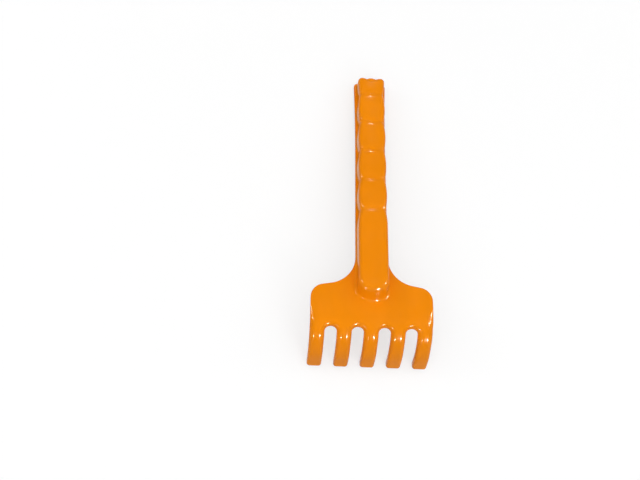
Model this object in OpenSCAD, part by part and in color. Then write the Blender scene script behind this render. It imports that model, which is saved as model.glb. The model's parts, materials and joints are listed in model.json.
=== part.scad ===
// Child's sand rake: a hollow waved handle, a flat shouldered head and five bent, rounded tines.
// It is drawn lying flat: X across the head, Y from the bend to the end of the handle, Z up from
// the underside of the head plate. Each piece is then tipped with the whole rake, so that the tine
// tips and the end of the handle stand on the ground.

/* [Head] */
// Width across the head and its row of tines
head_w = 91.5; // [80:0.5:120]
// Distance from the bend to where the shoulder line meets the side of the head
shoulder_y = 23.5; // [16:0.5:30]
// Rise of the shoulder line from the side of the head to the neck
shoulder_rise = 6; // [2:0.5:12]
// Radius of the round shoulder corners
shoulder_r = 10.5; // [6:0.5:14]
// Radius of the hollow curve between shoulder and neck
neck_r = 22; // [8:0.5:25]
// Thickness of the head plate and of the handle's rim
plate_t = 2.4; // [1.8:0.1:3.2]

/* [Tines] */
// Width of a tine at its root
tine_w = 11.2; // [9.8:0.1:12]
// Width of a tine at its tip
tine_tip_w = 11; // [9.4:0.1:11.6]
// Depth of a tine from its front to the rim of its hollow back
tine_t = 5.2; // [4.8:0.1:6.5]
// Radius of the rounded front edges along a tine and round a slot
roll_r = 4.4; // [3:0.1:4.6]
// Radius of the rounded front edge at a tine's tip
tip_roll_r = 2.1; // [1:0.1:2.1]
// Width of the rim round a tine's hollow back
tine_rim = 2.2; // [1.6:0.1:2.2]
// Radius of the corners inside a tine's hollow back
gutter_r = 1.6; // [0.5:0.1:1.8]
// Radius of the bend at the edge of the head, on its outside
bend_r = 23.5; // [18:0.5:30]
// Angle of the bend
bend_angle = 50; // [40:0.5:60]
// Radius of the gentler curve that each tine has below the bend, on its outside
sweep_r = 42; // [30:0.5:80]
// Angle of that curve
sweep_angle = 24; // [5:0.5:28]
// Straight length of a tine below both
tine_l = 10.7; // [8:0.1:30]
// Distance along the bent face from its start to the top of a slot
slot_run = 7.5; // [6:0.5:8]
// Radius of the corners of a tine's tip
tip_r = 2.3; // [2.2:0.1:4]

/* [Handle] */
// Distance from the bend to the end of the handle's rim
handle_l = 204.7; // [170:0.1:260]
// Height from the underside of the rim to the top of the handle
handle_h = 15.8; // [12:0.1:22]
// Width of the raised handle at the head
shank_w = 23.2; // [20:0.1:28]
// Width of the raised handle at its end
heel_w = 22.2; // [20:0.1:28]
// Thickness of the hollow handle's walls
wall_t = 2.2; // [1.4:0.1:2.6]
// Lean of each side wall from foot to top
draft = 0.4; // [0:0.1:1]
// Radius of the rounded upper edges
edge_r = 3; // [2.8:0.1:4]
// Radius of the small hollow curve at the foot of the side walls
foot_r = 0.5; // [0.2:0.1:0.6]
// Rise of the top from its rounded edges to its middle
top_crown = 0.5; // [0:0.1:1]
// Distance from the bend to the foot of the nose
nose_y = 13.2; // [8:0.1:18]
// Length of the nose, from its foot to where the side walls run straight
nose_l = 9.5; // [8:0.1:14]
// Squareness of the nose's outline, from an oval upwards
nose_power = 3.5; // [2:0.1:4]
// Lean of the nose from foot to top, beyond the lean of the side walls
nose_lean = 3.5; // [0:0.1:6]
// Radius of the hollow curve at the foot of the nose
nose_foot_r = 2.2; // [0.6:0.1:3]

/* [Grip] */
// Length of one finger wave
wave_l = 26; // [20:0.5:32]
// Number of whole finger waves
wave_n = 4; // [2:1:5]
// Depth of the valleys between the waves on the side walls
wave_side = 1.1; // [0.2:0.1:2]
// Depth of the narrow grooves across the top, one over each valley
wave_top = 0.6; // [0.2:0.1:1.2]
// Length of the end of the grip beyond the last valley
heel_l = 16.5; // [12:0.5:24]
// Number of lobes across the end of the grip
lobe_n = 3; // [1:1:5]
// Depth of the dips between the lobes
lobe_depth = 0.9; // [0:0.1:1.5]
// Radius of the upright corners at the end of the grip
heel_r = 3.6; // [3:0.1:6]

/* [Rim] */
// Width of the rim outside the wall at the neck
neck_ledge = 0.7; // [0.6:0.1:3]
// Width of the rim outside the wall at the waist of the grip
waist_ledge = 0.7; // [0.6:0.1:3]
// Width of the rim outside the wall at the end of the grip
heel_ledge = 1.9; // [0.6:0.1:3]
// Width of the rim beyond the end wall of the grip
end_lip = 1.2; // [0.8:0.1:4]
// Radius of the rim's corners at the end of the handle
rim_r = 3; // [1:0.1:5]

/* [Ribs] */
// Thickness of a cross rib
rib_t = 1.6; // [0.8:0.1:2.4]
// Depth of a cross rib below the ceiling of the hollow, at the walls
rib_h = 8; // [4:0.5:9]
// Rise of the arched lower edge of a cross rib
rib_arch = 2.5; // [0.5:0.1:3.5]

/* [Hidden] */
moulding_colour = "#F08A16";
tine_n = 5;

// Steps of the lofts and arcs
arc_steps = 10;
wave_steps = 16;
heel_steps = 4;
lobe_steps = 6;
foot_steps = 2;
edge_steps = 4;
nose_steps = 10;
shank_steps = 4;
slot_steps = 4;
bend_steps = 3;
shaft_steps = 6;
tip_steps = 3;
roll_steps = 5;
// Roundness of the valleys between waves or lobes, as a share of a wave's height
valley_share = 0.12;
// Narrowness of the grooves across the top against the valleys of the side walls
groove_power = 5;
// Least corner radius of an inner outline, as a share of the wall
inner_corner_share = 0.3;

// Tine layout
pitch = (head_w - tine_w) / (tine_n - 1);
slot_r = (pitch - tine_w) / 2;
slot_mid = slot_run + slot_r;
bend_run = bend_r * bend_angle * PI / 180;
sweep_run = bend_run + sweep_r * sweep_angle * PI / 180;
tine_run = sweep_run + tine_l;
hub_s = tine_run - tine_tip_w / 2;

// Handle layout, from the end towards the head
heel_y = handle_l - end_lip;
last_valley = heel_y - heel_l;
first_valley = last_valley - wave_n * wave_l;
grip_y = first_valley - wave_l / 2;
rise = handle_h - plate_t - top_crown;
waist_y = (grip_y + heel_y) / 2;
nose_mid = nose_y + nose_l;
inner_r = max(edge_r - wall_t, inner_corner_share * wall_t);
levels = foot_steps + edge_steps + 1;

function ease(t) = let (c = min(max(t, 0), 1)) c * c * (3 - 2 * c);
function lerp(a, b, t) = a + (b - a) * t;
function unit(v) = v / norm(v);
function flat(lists) = [for (list = lists) each list];
function halves(quads) = flat([for (q = quads) [[q[0], q[1], q[2]], [q[0], q[2], q[3]]]]);

// Points of the arc of radius r that rounds corner v between its neighbours p and n
function corner(p, v, n, r) =
    let (a = unit(p - v),
         b = unit(n - v),
         half = acos(a * b) / 2,
         c = v + unit(a + b) * r / sin(half),
         s = v + a * r / tan(half) - c,
         e = v + b * r / tan(half) - c,
         turn = atan2(cross(s, e), s * e) / arc_steps)
    [for (i = [0 : arc_steps])
        c + [s.x * cos(turn * i) - s.y * sin(turn * i), s.x * sin(turn * i) + s.y * cos(turn * i)]];

// Row of arched waves: 1 on each crest and 0 in each rounded valley, which lie at whole numbers
function arches(u) =
    (sqrt(pow(sin(180 * u), 2) + pow(valley_share, 2)) - valley_share)
    / (sqrt(1 + pow(valley_share, 2)) - valley_share);

// Swell of the grip at y, from 0 in a valley to 1 on a wave and all along the shank
function swell(y) = y < grip_y ? 1 : arches((y - first_valley) / wave_l);
function plain_half_w(y) = lerp(shank_w, heel_w, min(max((y - grip_y) / (heel_y - grip_y), 0), 1)) / 2;
function half_w(y) = plain_half_w(y) - wave_side * (1 - swell(y));
function rise_at(y) = rise - wave_top * pow(1 - swell(y), groove_power);

// Inset and height of one level of the raised handle's outer or inner face, foot to top
function foot_turn(k) = 90 * k / foot_steps;
function edge_turn(k) = 90 * (k - foot_steps - 1) / edge_steps;
function outer_inset(k, foot) =
    k <= foot_steps ? -foot * (1 - sin(foot_turn(k))) : draft + edge_r * (1 - cos(edge_turn(k)));
function inner_inset(k) =
    k <= foot_steps ? wall_t : wall_t + draft + inner_r * (1 - cos(edge_turn(k)));
function outer_height(k, foot, top) =
    k <= foot_steps ? foot * (1 - cos(foot_turn(k))) : top - edge_r * (1 - sin(edge_turn(k)));
function inner_height(k, top) =
    k <= foot_steps ? foot_r * (1 - cos(foot_turn(k)))
                    : top - wall_t - inner_r * (1 - sin(edge_turn(k)));
function level_inset(k, outer, foot) = outer ? outer_inset(k, foot) : inner_inset(k);
function level_height(k, outer, foot, top) = outer ? outer_height(k, foot, top) : inner_height(k, top);

// Half of the grip's outline, drawn in by an inset, from the shank to the middle of the end
function heel_corner(inset) = max(heel_r - inset, inner_corner_share * wall_t);
function heel_start(inset) = heel_y - inset - heel_corner(inset);
function grip_stations(inset) =
    concat([for (i = [0 : wave_steps * (wave_n + 0.5)]) grip_y + i * wave_l / wave_steps],
           [for (i = [1 : heel_steps]) lerp(last_valley, heel_start(inset), i / heel_steps)]);
function grip_side(inset) = [for (y = grip_stations(inset)) [half_w(y) - inset, y]];
function heel_line(inset) =
    let (r = heel_corner(inset),
         w = plain_half_w(heel_y),
         x0 = half_w(heel_start(inset)) - inset - r)
    concat([for (i = [1 : heel_steps])
               [x0 + r * cos(90 * i / heel_steps), heel_start(inset) + r * sin(90 * i / heel_steps)]],
           [for (i = [1 : lobe_steps])
               let (x = x0 * (1 - i / lobe_steps))
               [x, heel_y - inset - lobe_depth * (1 - arches((x / w + 1) / 2 * lobe_n))]]);
function grip_half(inset) = concat(grip_side(inset), heel_line(inset));

// Place i on half of the shank's outline, which runs from the grip down the side and round the
// squarish nose to its middle. The nose leans back by lean.
function shank_spot(i, inset, lean) =
    let (a = 90 * max(0, i - shank_steps) / nose_steps,
         side = min(i / shank_steps, 1),
         nose = nose_mid + lean - (nose_l - inset) * pow(sin(a), 2 / nose_power))
    [(shank_w / 2 - inset) * pow(cos(a), 2 / nose_power), lerp(grip_y, nose, side)];
shank_n = shank_steps + nose_steps;
function shank_half(inset) = [for (i = [0 : shank_n]) shank_spot(i, inset, 0)];
// Radius of the hollow curve at the foot of the shank's wall
function foot_at(y) = lerp(nose_foot_r, foot_r, ease((y - nose_mid) / (neck_y - nose_mid)));

// A half outline and its mirror image as one run of points, clockwise seen from above
function turned(p, side) = [for (i = [0 : len(p) - 1]) i == 0 ? side * p.x : p[i]];
function both_sides(half, first) =
    concat([for (p = half) turned(p, first)],
           [for (i = [len(half) - 2 : -1 : 0]) turned(half[i], -first)]);

// Hollow raised form from two stacks of outlines, each level one run of points, and two spines
// along the middle of the top and of the ceiling. Point i of a run meets the spine at step side(i).
module shell(outer, inner, top, ceiling, side_n) {
    n = len(outer[0]);
    inner_0 = levels * n + n;
    top_0 = 2 * inner_0;
    ceiling_0 = top_0 + len(top);
    function o(k, i) = k * n + i;
    function w(k, i) = inner_0 + k * n + i;
    function side(i) = min(i, n - 1 - i, side_n);
    walls = flat([for (k = [0 : levels - 1], i = [0 : n - 2])
        [[o(k, i), o(k, i + 1), o(k + 1, i + 1), o(k + 1, i)],
         [w(k, i), w(k + 1, i), w(k + 1, i + 1), w(k, i + 1)]]]);
    foot = [for (i = [0 : n - 2]) [o(0, i), w(0, i), w(0, i + 1), o(0, i + 1)]];
    joint = flat([for (k = [0 : levels - 1])
        [[o(k, 0), o(k + 1, 0), w(k + 1, 0), w(k, 0)],
         [w(k, n - 1), w(k + 1, n - 1), o(k + 1, n - 1), o(k, n - 1)]]]);
    lintel = [[w(levels, 0), o(levels, 0), top_0, ceiling_0],
              [ceiling_0, top_0, o(levels, n - 1), w(levels, n - 1)]];
    fans = flat([for (i = [0 : n - 2])
        let (a = side(i), b = side(i + 1))
        concat([[o(levels, i), o(levels, i + 1), top_0 + b],
                [w(levels, i), ceiling_0 + b, w(levels, i + 1)]],
               a == b ? [] : [[o(levels, i), top_0 + b, top_0 + a],
                              [w(levels, i), ceiling_0 + a, ceiling_0 + b]])]);
    polyhedron(points = concat(flat(outer), flat(inner), top, ceiling),
               faces = concat(halves(concat(walls, foot, joint, lintel)), fans));
}

// One level of the grip and one of the shank: an outline at its inset, raised to its height
function grip_level(k, outer) =
    [for (p = both_sides(grip_half(level_inset(k, outer, foot_r)), -1))
        [p.x, p.y, plate_t + level_height(k, outer, foot_r, rise_at(p.y))]];
function shank_level(k, outer) =
    both_sides([for (i = [0 : shank_n])
        let (foot = foot_at(shank_spot(i, 0, 0).y),
             z = level_height(k, outer, foot, rise),
             p = shank_spot(i, level_inset(k, outer, foot), nose_lean * z / rise))
        [p.x, p.y, plate_t + z]], 1);
// Line along the middle of a top level, raised by the crown of the top
function spine(level, side_n) = [for (i = [0 : side_n]) [0, level[i].y, level[i].z + top_crown]];

// Outline of the rim, half of it, from the neck to the middle of its end
function ledge(y) =
    let (t = (y - waist_y) / (heel_y - waist_y))
    y > waist_y ? lerp(waist_ledge, heel_ledge, t * t)
                : lerp(waist_ledge, neck_ledge, pow((waist_y - y) / (waist_y - neck_y), 2));
function rim_half_w(y) = plain_half_w(y) + ledge(y);
function rim_half() =
    let (start = handle_l - rim_r,
         rows = wave_n * wave_steps,
         r = rim_r)
    concat([for (i = [0 : rows]) let (y = lerp(neck_y, start, i / rows)) [rim_half_w(y), y]],
           [for (i = [1 : heel_steps])
               [rim_half_w(start) - r * (1 - cos(90 * i / heel_steps)),
                start + r * sin(90 * i / heel_steps)]],
           [[0, handle_l]]);

// Half of the head's outline, from the neck to the bend
neck_half_w = shank_w / 2 + neck_ledge;
function head_half() =
    let (neck = [neck_half_w, shoulder_y + shoulder_rise],
         side = [head_w / 2, shoulder_y],
         above = [neck_half_w, handle_l],
         below = [head_w / 2, 0])
    concat(corner(above, neck, side, neck_r), corner(neck, side, below, shoulder_r), [below]);
neck_y = head_half()[0].y;

// Way forward and down along an arc of radius r that turns on from angle a by b
function arc_way(r, a, b) = r * [sin(a + b) - sin(a), cos(a) - cos(a + b)];

// Point at x across, s along the bent face and depth below it
function bent(x, s, depth) =
    let (a = bend_angle * min(s / bend_run, 1),
         b = sweep_angle * min(max((s - bend_run) / (sweep_run - bend_run), 0), 1),
         way = arc_way(bend_r, 0, a) + arc_way(sweep_r, a, b)
               + max(s - sweep_run, 0) * [cos(a + b), sin(a + b)])
    [x, depth * sin(a + b) - way[0], plate_t - depth * cos(a + b) - way[1]];

// Lanes across one side of a tine, root to tip, drawn flat as [x from the middle, s along the face].
// Each has its place on the edge, its way straight in and how far that holds, the place that it
// faces, the width and drop of its rounding, and the depth of the rim behind it.
function shaft_half(s) =
    lerp(tine_w, tine_tip_w, min(max((s - slot_mid) / (tine_run - slot_mid), 0), 1)) / 2;
function roll_at(s) = lerp(roll_r, tip_roll_r, ease((s - bend_run) / (hub_s - bend_run)));
function shaft_lane(s, facing, slotted) =
    let (share = slotted ? 1 : ease(s / slot_run))
    [[shaft_half(s), s], [-1, 0], tip_r, facing, roll_at(s), roll_at(s) * share,
     lerp(plate_t, tine_t, share)];
corner_turn = atan2(slot_mid, pitch / 2);
slot_turns = concat([for (i = [0 : slot_steps - 1]) lerp(90, corner_turn, i / slot_steps)],
                    [for (i = [slot_steps : -1 : 0]) corner_turn * i / slot_steps]);
function root_facing(turn) =
    turn > corner_turn ? [pitch / 2 - slot_mid / tan(turn), 0]
                       : [0, max(0, slot_mid - pitch / 2 * tan(turn))];
function slot_lane(turn) =
    let (out = [-cos(turn), -sin(turn)])
    [[pitch / 2, slot_mid] + slot_r * out, out, slot_mid, root_facing(turn), roll_r, roll_r, tine_t];
function tip_lanes() =
    let (start = tine_run - tip_r,
         x = shaft_half(start) - tip_r,
         hub = [0, hub_s],
         roll = roll_at(start))
    concat([for (i = [1 : tip_steps])
               let (out = [cos(90 * i / tip_steps), sin(90 * i / tip_steps)])
               [[x, start] + tip_r * out, -out, tip_r, hub, roll, roll, tine_t]],
           [[[0, tine_run], [0, -1], tip_r, hub, roll, roll, tine_t]]);
function tine_lanes(slotted) =
    concat([for (turn = slot_turns)
               if (slotted) slot_lane(turn)
               else if (turn <= corner_turn) shaft_lane(root_facing(turn).y, root_facing(turn), false)],
           [for (i = [1 : bend_steps])
               let (s = lerp(slot_mid, bend_run, i / bend_steps)) shaft_lane(s, [0, s], true)],
           [for (i = [1 : shaft_steps])
               let (s = lerp(bend_run, hub_s, i / shaft_steps)) shaft_lane(s, [0, s], true)],
           [shaft_lane(tine_run - tip_r, [0, hub_s], true)],
           tip_lanes());

// Place on a lane at a distance from its edge
function lane_at(lane, gap) =
    let (p = lane[0] + lane[1] * min(gap, lane[2]))
    gap <= lane[2] ? p : p + unit(lane[3] - p) * (gap - lane[2]);
// Points across a lane, from the flat of the front over the rounded edge to the flat of the back
function lane_row(lane, x, side) =
    let (front = [for (k = [roll_steps : -1 : 0])
                     let (a = 90 * k / roll_steps) [lane[4] * (1 - cos(a)), lane[5] * (1 - sin(a))]],
         gutter = [for (k = [0 : roll_steps - 1])
                      let (a = 90 * k / (roll_steps - 1))
                      [tine_rim + gutter_r * (1 - cos(a)), lerp(lane[6], plate_t, sin(a))]],
         across = concat(front, [[0, lane[6]]], gutter))
    [for (c = across) let (p = lane_at(lane, c[0])) bent(x + side * p.x, p.y, c[1])];

// All lanes round tine i, from its left root to its tip and back up its right, and the places that
// they face, of which the two sides share those along the middle
function tine_middle_x(i) = (i - (tine_n - 1) / 2) * pitch;
function round_lanes(i) =
    let (left = tine_lanes(i > 0), right = tine_lanes(i < tine_n - 1), x = tine_middle_x(i))
    concat([for (lane = left) lane_row(lane, x, -1)],
           [for (j = [len(right) - 2 : -1 : 0]) lane_row(right[j], x, 1)]);
middle_stations = concat([for (turn = slot_turns) if (turn <= corner_turn) root_facing(turn).y],
                         [for (i = [1 : bend_steps]) lerp(slot_mid, bend_run, i / bend_steps)],
                         [for (i = [1 : shaft_steps]) lerp(bend_run, hub_s, i / shaft_steps)]);
function faced_places(i, depth) =
    let (x = tine_middle_x(i),
         sides = [if (i > 0) -1, if (i < tine_n - 1) 1],
         beside = [for (turn = slot_turns) if (turn > corner_turn) root_facing(turn).x])
    concat([for (s = middle_stations) bent(x, s, depth)],
           [for (side = sides, b = beside) bent(x + side * b, 0, depth)]);

// Tip of the whole rake onto its tines and the end of its handle
function tilt_of(p) = atan2(-p.z, handle_l - p.y);
function tipped(p) = [p.x, p.y * cos(tilt) + p.z * sin(tilt), p.z * cos(tilt) - p.y * sin(tilt)];
tine_points = flat(round_lanes(0));
tilt = max([for (p = tine_points) tilt_of(p)]);
heel_edge = tipped([0, handle_l, plate_t]);
ground_z = tipped([0, handle_l, 0]).z;
front_y = min([for (p = tine_points) tipped(p).y]);
middle_y = (front_y + heel_edge.y) / 2;

// Set a piece down with the whole rake, its footprint centred on the origin
module set_down() {
    translate([0, -middle_y, -ground_z]) rotate([-tilt, 0, 0]) children();
}

module grip() {
    n = len(grip_stations(0)) - 1;
    outer = [for (k = [0 : levels]) grip_level(k, true)];
    inner = [for (k = [0 : levels]) grip_level(k, false)];
    color(moulding_colour) set_down()
        shell(outer, inner, spine(outer[levels], n), spine(inner[levels], n), n);
}

module shank() {
    n = shank_steps;
    outer = [for (k = [0 : levels]) shank_level(k, true)];
    inner = [for (k = [0 : levels]) shank_level(k, false)];
    color(moulding_colour) set_down()
        shell(outer, inner, spine(outer[levels], n), spine(inner[levels], n), n);
}

// One rib, standing in the narrowest section of a valley and arched along its lower edge
module cross_rib(y) {
    half = [for (k = [0 : levels]) [half_w(y) - inner_inset(k), plate_t + inner_height(k, rise_at(y))]];
    ceiling = half[levels].y;
    mouth_half_w = half[0].x;
    arch_r = (pow(mouth_half_w, 2) + pow(rib_arch, 2)) / (2 * rib_arch);
    back = [for (i = [levels : -1 : 0]) [-half[i].x, half[i].y]];
    translate([0, y + rib_t / 2, 0]) rotate([90, 0, 0]) linear_extrude(rib_t)
        difference() {
            polygon(concat(half, [[0, ceiling + top_crown]], back));
            translate([-mouth_half_w, 0]) square([2 * mouth_half_w, ceiling - rib_h]);
            translate([0, ceiling - rib_h + rib_arch - arch_r]) circle(arch_r, $fn = 96);
        }
}

module cross_ribs() {
    color(moulding_colour) set_down() for (i = [0 : wave_n]) cross_rib(first_valley + i * wave_l);
}

module handle_rim() {
    mouth = concat([[shank_w / 2 - wall_t, neck_y]], grip_half(wall_t));
    color(moulding_colour) set_down() linear_extrude(plate_t)
        polygon(concat(both_sides(rim_half(), -1), both_sides(mouth, 1)));
}

module head_plate() {
    mouth = [for (p = shank_half(wall_t)) [p.x, min(p.y, neck_y)]];
    color(moulding_colour) set_down() linear_extrude(plate_t)
        polygon(concat(head_outline(), both_sides(mouth, 1)));
}

// Outline of the head from the left of the neck, round the plate, to the right of the neck
function head_outline() =
    let (half = head_half(), n = len(half))
    concat([for (p = half) [-p.x, p.y]], [for (i = [n - 1 : -1 : 0]) half[i]]);

// Tine i, counted from the left, skinned lane by lane and closed at its root
module tine(i) {
    lanes = round_lanes(i);
    last = len(lanes) - 1;
    rows = len(lanes[0]);
    left_n = i > 0 ? slot_steps : 0;
    right_n = i < tine_n - 1 ? slot_steps : 0;
    left_last = len(tine_lanes(i > 0)) - 1;
    middle_n = len(middle_stations);
    front_0 = (last + 1) * rows;
    back_0 = front_0 + middle_n + left_n + right_n;
    function p(j, r) = j * rows + r;
    function middle(j) = min(j, middle_n - 1);
    function faced(j) =
        j <= left_last ? (j < left_n ? middle_n + j : middle(j - left_n))
        : last - j < right_n ? middle_n + left_n + last - j : middle(last - j - right_n);
    function f(j) = front_0 + faced(j);
    function b(j) = back_0 + faced(j);
    function front(j, k) = k > roll_steps ? f(j) : p(j, roll_steps - k);
    function back(j, k) = k > roll_steps ? b(j) : p(j, roll_steps + 1 + k);
    skin = flat([for (j = [0 : last - 1])
        concat([for (r = [0 : rows - 2]) [p(j, r), p(j + 1, r), p(j + 1, r + 1), p(j, r + 1)]],
               [[f(j), f(j + 1), p(j + 1, 0), p(j, 0)],
                [p(j, rows - 1), p(j + 1, rows - 1), b(j + 1), b(j)]])]);
    root = [for (j = [0 : last - 1]) if (j < left_n || j >= last - right_n)
        [f(j + 1), f(j), b(j), b(j + 1)]];
    ends = flat([for (k = [0 : roll_steps])
        [[front(0, k + 1), front(0, k), back(0, k), back(0, k + 1)],
         [front(last, k), front(last, k + 1), back(last, k + 1), back(last, k)]]]);
    faces = halves(concat(skin, root, ends));
    color(moulding_colour) set_down()
        polyhedron(points = concat(flat(lanes), faced_places(i, 0), faced_places(i, plate_t)),
                   faces = [for (h = faces) if (h[0] != h[1] && h[1] != h[2] && h[2] != h[0]) h]);
}

grip();
shank();
cross_ribs();
handle_rim();
head_plate();
tine(0);  // tine_far_left
tine(1);  // tine_left
tine(2);  // tine_middle
tine(3);  // tine_right
tine(4);  // tine_far_right
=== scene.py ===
"""Sand rake: the looks of one glossy moulding with a hollow handle and five round-edged tines.

Every piece is drawn flat, in the moulding's own plan: X across, Y from the bend of the head towards
the end of the handle, Z up from the underside of the head plate. The Stance then sets it down in
the frame, on the tips of its tines and the end of its handle.
"""

import json
import logging
import math
from collections.abc import Sequence
from dataclasses import dataclass
from enum import Enum

import bmesh
import bpy
from bmesh.types import BMEdge, BMesh, BMVert
from mathutils import Matrix, Vector

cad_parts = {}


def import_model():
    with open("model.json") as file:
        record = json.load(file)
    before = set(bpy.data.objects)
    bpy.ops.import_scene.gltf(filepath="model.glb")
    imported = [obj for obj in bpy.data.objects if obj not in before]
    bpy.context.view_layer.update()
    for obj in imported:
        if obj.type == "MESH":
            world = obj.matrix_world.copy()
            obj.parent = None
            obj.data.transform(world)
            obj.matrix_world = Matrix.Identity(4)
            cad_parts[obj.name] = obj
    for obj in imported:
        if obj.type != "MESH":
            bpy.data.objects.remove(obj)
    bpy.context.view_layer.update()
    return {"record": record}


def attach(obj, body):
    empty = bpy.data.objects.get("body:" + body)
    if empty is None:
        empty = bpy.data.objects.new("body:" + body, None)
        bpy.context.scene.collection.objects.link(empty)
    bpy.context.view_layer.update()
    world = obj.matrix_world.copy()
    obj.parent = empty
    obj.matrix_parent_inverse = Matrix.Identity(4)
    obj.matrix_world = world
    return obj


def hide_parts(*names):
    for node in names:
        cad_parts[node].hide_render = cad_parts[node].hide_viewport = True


LOG = logging.getLogger("sand_rake")
MM = 0.001
MERGE = 0.002 * MM
QUARTER = math.radians(90)
NEAR_TURN = 1e-6
GRID_HALF = 0.5
BODY = "root"
# Attribute of how tightly each vertex is rounded; the materials turn it into painted edge shade.
EDGE = "edge"
RIM_MOUNT = "rim_face"
RIM_SEAT = (-9.6 * MM, 122 * MM, 0)
TINES = ("tine_far_left", "tine_left", "tine_middle", "tine_right", "tine_far_right")

Net = list[list[Vector]]
Triple = tuple[float, float, float]
Socket = bpy.types.NodeSocket

# Numbers of a Mix node's colour sockets, which share their names with others.
MIX_FIRST, MIX_LAST, MIX_RESULT = 6, 7, 2


class Side(Enum):
    """Side of the rake or of a tine, as the sign of X."""

    LEFT = -1
    RIGHT = 1


class Skin(Enum):
    """Side of the mould that a face comes from, as its material slot."""

    CAVITY = 0
    CORE = 1


class Ring(Enum):
    """Edge line that a vertex of a flat net lies on, as the value of its layer, where 0 is none."""

    OUTLINE = 1
    MOUTH = 2


def ease(share: float) -> float:
    """Smooth step from 0 to 1, level at both ends."""
    held = min(max(share, 0.0), 1.0)
    return held * held * (3 - 2 * held)


def mix(first: float, last: float, share: float) -> float:
    """Value at a share of the way from first to last."""
    return first + (last - first) * share


def steps(first: float, last: float, count: int) -> list[float]:
    """Evenly spaced values from first to last, both included."""
    return [mix(first, last, i / count) for i in range(count + 1)]


def grey(level: float) -> tuple[float, float, float, float]:
    """Opaque grey of a level, as the sockets take a colour."""
    return level, level, level, 1


def lay_net(bm: BMesh, net: Net) -> list[BMVert]:
    """Lays a grid of quads and moves its vertices onto a net of places.

    Args:
        bm: mesh that gets the grid.
        net: rows of places, each row as long as the others.

    Returns:
        The grid's vertices, row after row.
    """
    rows, columns = len(net) - 1, len(net[0]) - 1
    verts = bmesh.ops.create_grid(bm, x_segments=columns, y_segments=rows, size=GRID_HALF)["verts"]
    for vert in verts:
        row = round((vert.co.y + GRID_HALF) * rows)
        column = round((vert.co.x + GRID_HALF) * columns)
        vert.co = net[row][column]
    return verts


def mirror_half(bm: BMesh) -> None:
    """Adds the mirror image of a right half and joins the two along the middle."""
    bmesh.ops.mirror(bm, geom=bm.verts[:] + bm.edges[:] + bm.faces[:], axis="X", merge_dist=MERGE)
    bmesh.ops.remove_doubles(bm, verts=bm.verts[:], dist=MERGE)


def point_outwards(bm: BMesh) -> None:
    """Turns the faces of a closed solid outwards."""
    bmesh.ops.recalc_face_normals(bm, faces=bm.faces[:])
    if bm.calc_volume(signed=True) < 0:
        bmesh.ops.reverse_faces(bm, faces=bm.faces[:])


def lay_skin(bm: BMesh, skin: Skin, nets: Sequence[Net]) -> None:
    """Lays nets whose faces all come from one side of the mould.

    Args:
        bm: mesh that gets the nets.
        skin: the side of the mould.
        nets: a net for each part of the skin.
    """
    before = set(bm.faces)
    for net in nets:
        lay_net(bm, net)
    for face in set(bm.faces) - before:
        face.material_index = skin.value


def close_shell(bm: BMesh) -> None:
    """Joins the open edges of an outer and an inner skin and turns the faces outwards."""
    bmesh.ops.bridge_loops(bm, edges=[edge for edge in bm.edges if edge.is_boundary])
    point_outwards(bm)


def draw_out(bm: BMesh) -> list[BMVert]:
    """Doubles a flat net, joined along its outline, and gives the vertices to draw out."""
    drawn = bmesh.ops.extrude_face_region(bm, geom=bm.faces[:])["geom"]
    return [part for part in drawn if isinstance(part, BMVert)]


def mark_edges(bm: BMesh, radius: float, sharp: float) -> None:
    """Writes how tightly each vertex is rounded, which the materials turn into painted shade on
    tight edges.

    Args:
        bm: mesh of one piece.
        radius: radius of the edges that get 1; a flat or a hollow gets 0.
        sharp: angle from which an edge is a seam between pieces, and isn't counted.
    """
    tone = bm.verts.layers.float.new(EDGE)
    turns = {edge: edge.calc_face_angle_signed(0) * edge.calc_length() / 2
             for edge in bm.edges if edge.calc_face_angle(0) < sharp}
    for vert in bm.verts:
        area = sum(face.calc_area() / len(face.verts) for face in vert.link_faces)
        turn = sum(turns.get(edge, 0) for edge in vert.link_edges)
        vert[tone] = min(max(turn * radius / max(area, MERGE ** 2), 0), 1)


def round_edges(bm: BMesh, edges: Sequence[BMEdge], radius: float, segments: int) -> None:
    """Rounds edges of a solid.

    Args:
        bm: mesh that holds the edges.
        edges: edges to round.
        radius: distance from the edge at which the rounding starts.
        segments: facets of the rounding.
    """
    bmesh.ops.bevel(bm, geom=list(edges), offset=radius, offset_type="OFFSET", affect="EDGES",
                    segments=segments, profile=0.5, material=-1, clamp_overlap=True)


@dataclass(frozen=True)
class Stance:
    """Turn and shift that set the flat-drawn moulding down in the frame."""

    matrix: Matrix

    @classmethod
    def from_record(cls, record: dict, rim_face: str, rim_seat: Vector) -> "Stance":
        """Reads the stance off the record's mount on the underside of the rim.

        Args:
            record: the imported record.
            rim_face: name of the mount.
            rim_seat: the mount's place in the moulding's own plan.

        Returns:
            The stance of the whole moulding.
        """
        mount = next(m for m in record["mounts"] if m["name"] == rim_face)
        down = Vector(mount["axis"])
        turn = Matrix.Rotation(-math.atan2(-down.y, -down.z), 4, "X")
        shift = Vector(mount["pos_m"]) - turn @ rim_seat
        return cls(Matrix.Translation(shift) @ turn)


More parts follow.
